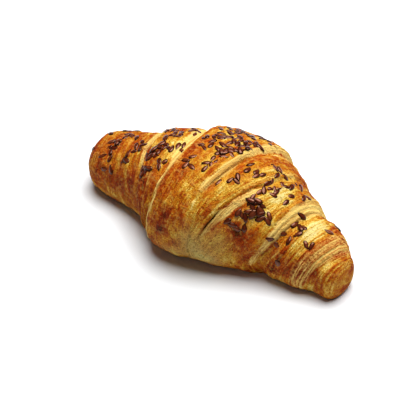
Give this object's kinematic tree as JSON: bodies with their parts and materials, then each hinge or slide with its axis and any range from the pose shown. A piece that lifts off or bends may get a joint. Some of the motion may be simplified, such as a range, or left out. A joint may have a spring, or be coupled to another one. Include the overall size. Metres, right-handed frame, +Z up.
{
  "type": "croissant",
  "caption": "Straight baked croissant rolled in overlapping wraps, with a thick and a slim horn and grains of linseed on top.",
  "frame": {"origin": "on the flat underside, within a millimetre of midway between the tips of the two horns", "axes": "+X along the roll to the slim horn, -Y to the front, +Z up"},
  "size_m": [0.173, 0.0875, 0.0596],
  "materials": {
    "crust": "golden brown egg-washed crust with a soft sheen",
    "linseed": "dark brown glossy seed coat"
  },
  "bodies": {
    "root": {"croissant": "crust"}
  },
  "joints": []
}
